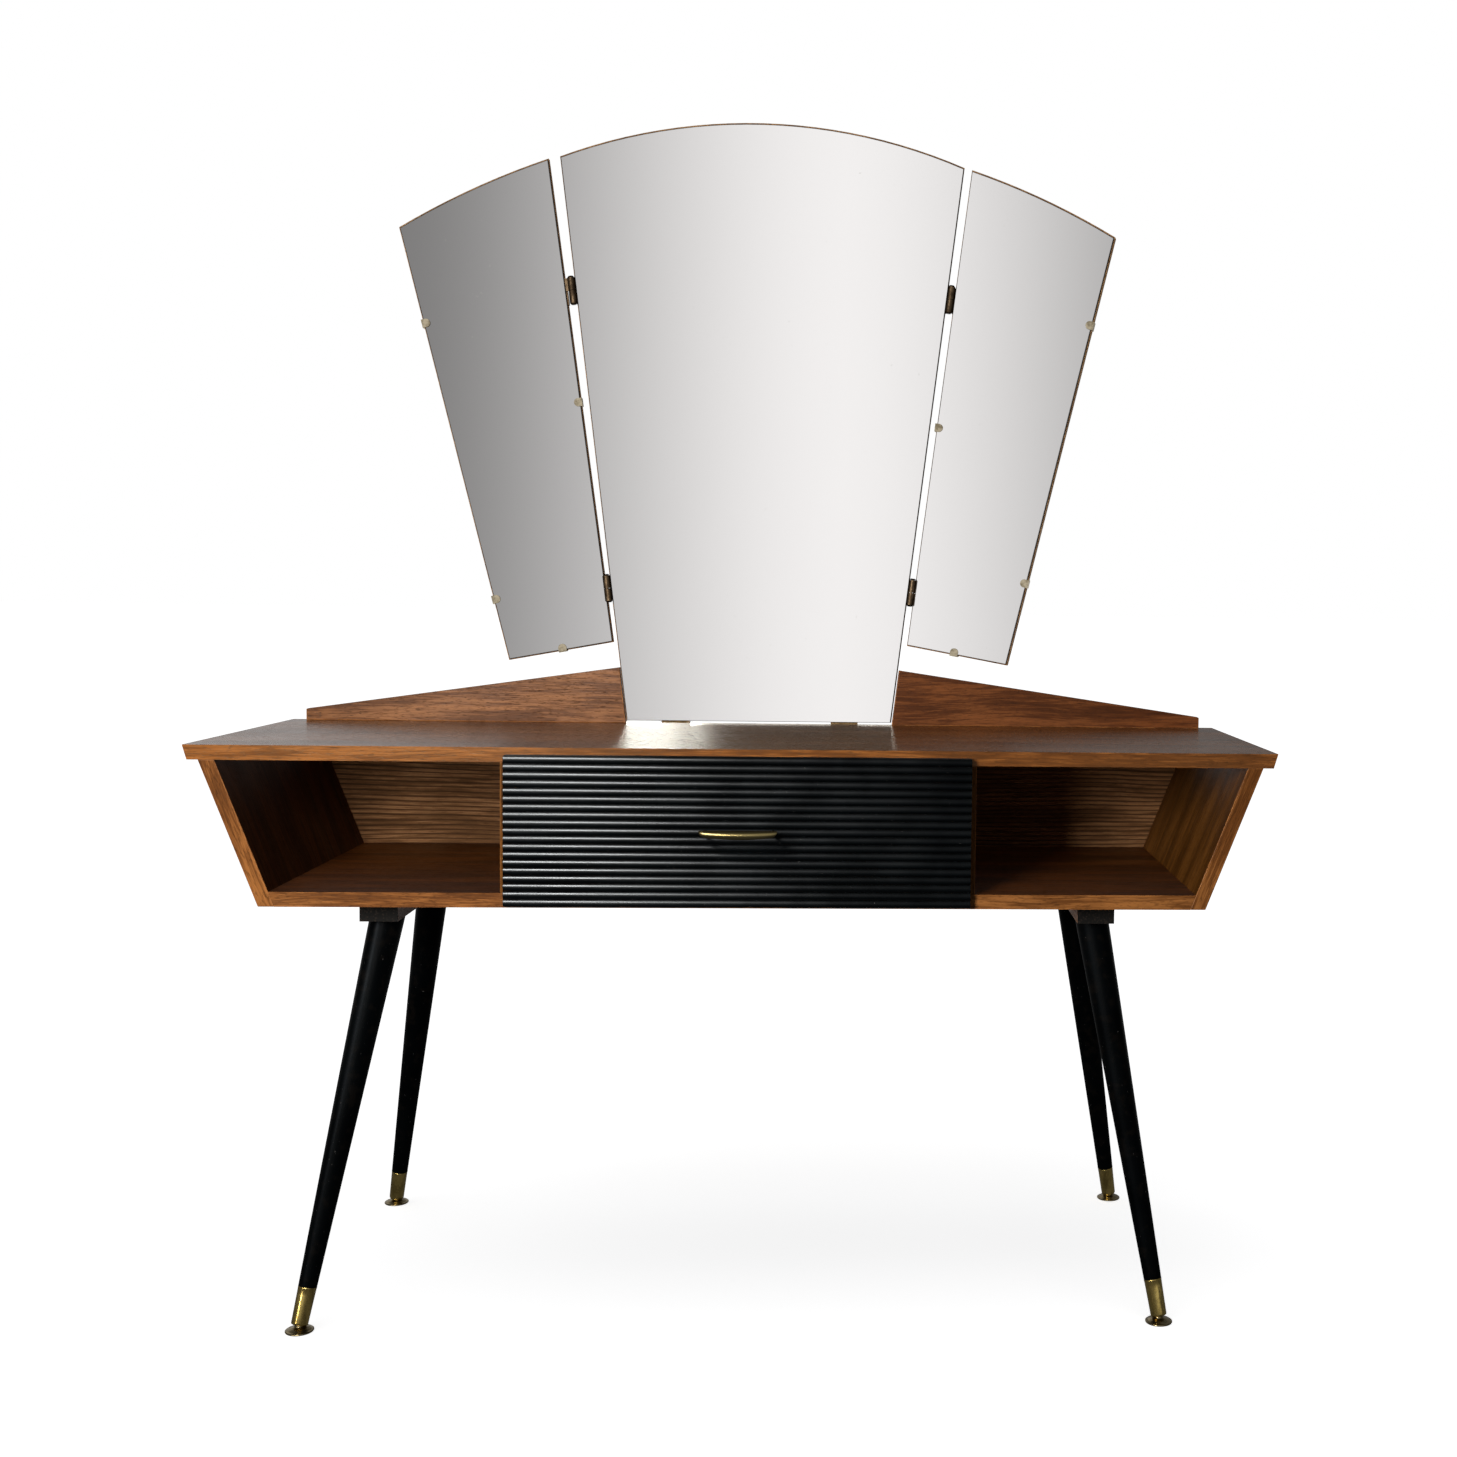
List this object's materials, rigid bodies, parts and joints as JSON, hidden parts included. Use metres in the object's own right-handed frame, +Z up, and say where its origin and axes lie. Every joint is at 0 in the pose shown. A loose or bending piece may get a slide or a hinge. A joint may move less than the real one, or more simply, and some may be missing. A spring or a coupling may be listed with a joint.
{
  "type": "vanity table with mirror",
  "caption": "Dressing table with open side compartments, a ribbed central drawer, splayed round legs, and a fixed centre mirror with hinged side mirrors.",
  "frame": {"origin": "centre of the footprint of the whole object, on the floor", "axes": "+X to the right as seen from the front, +Y towards the back, +Z up; the front faces -Y"},
  "size_m": [1.25, 0.47, 1.4755],
  "materials": {
    "top_wood": "satin lacquer",
    "case_wood": "satin lacquer",
    "back_veneer": "satin, strong horizontal grain",
    "pale_wood": "bare, sanded",
    "backing_wood": "matt stain",
    "black_front": "black satin lacquer",
    "black_leg": "black satin lacquer",
    "aged_brass": "aged, lightly polished",
    "mirror_glass": "silvered glass"
  },
  "bodies": {
    "case": {"tabletop": "top_wood", "bottom_panel": "case_wood", "left_side_panel": "case_wood", "right_side_panel": "case_wood", "back_panel": "back_veneer", "left_partition": "case_wood", "right_partition": "case_wood", "left_backsplash": "case_wood", "right_backsplash": "case_wood", "left_leg_cleat": "case_wood", "right_leg_cleat": "case_wood", "front_left_leg": "black_leg", "front_right_leg": "black_leg", "back_left_leg": "black_leg", "back_right_leg": "black_leg", "front_left_ferrule": "aged_brass", "front_right_ferrule": "aged_brass", "back_left_ferrule": "aged_brass", "back_right_ferrule": "aged_brass", "front_left_glide": "aged_brass", "front_right_glide": "aged_brass", "back_left_glide": "aged_brass", "back_right_glide": "aged_brass", "left_drawer_runner": "pale_wood", "right_drawer_runner": "pale_wood", "centre_mirror_backboard": "backing_wood", "centre_mirror_glass": "mirror_glass", "left_mirror_batten": "backing_wood", "right_mirror_batten": "backing_wood", "batten_screws": "aged_brass", "left_hinge_fixed_leaves": "aged_brass", "left_hinge_pins": "aged_brass", "right_hinge_fixed_leaves": "aged_brass", "right_hinge_pins": "aged_brass"},
    "drawer": {"drawer_front": "black_front", "drawer_left_side": "pale_wood", "drawer_right_side": "pale_wood", "drawer_back": "pale_wood", "drawer_bottom": "pale_wood", "drawer_handle": "aged_brass", "handle_screws": "aged_brass"},
    "left_wing": {"left_wing_backboard": "backing_wood", "left_wing_glass": "mirror_glass", "left_wing_clips": "aged_brass", "left_hinge_moving_leaves": "aged_brass"},
    "right_wing": {"right_wing_backboard": "backing_wood", "right_wing_glass": "mirror_glass", "right_wing_clips": "aged_brass", "right_hinge_moving_leaves": "aged_brass"}
  },
  "joints": [
    {"name": "drawer_slide", "type": "slide", "parent": "case", "child": "drawer", "axis": [0, -1, 0], "range_m": [0, 0.25]},
    {"name": "left_wing_hinge", "type": "hinge", "parent": "case", "child": "left_wing", "pos_m": [-0.18277, 0.184, 0.67293], "axis": [-0.1194, 0, 0.9928], "range_deg": [-2, 163]},
    {"name": "right_wing_hinge", "type": "hinge", "parent": "case", "child": "right_wing", "pos_m": [0.18277, 0.184, 0.67293], "axis": [-0.1194, 0, -0.9928], "range_deg": [-13.5, 151.5]}
  ]
}
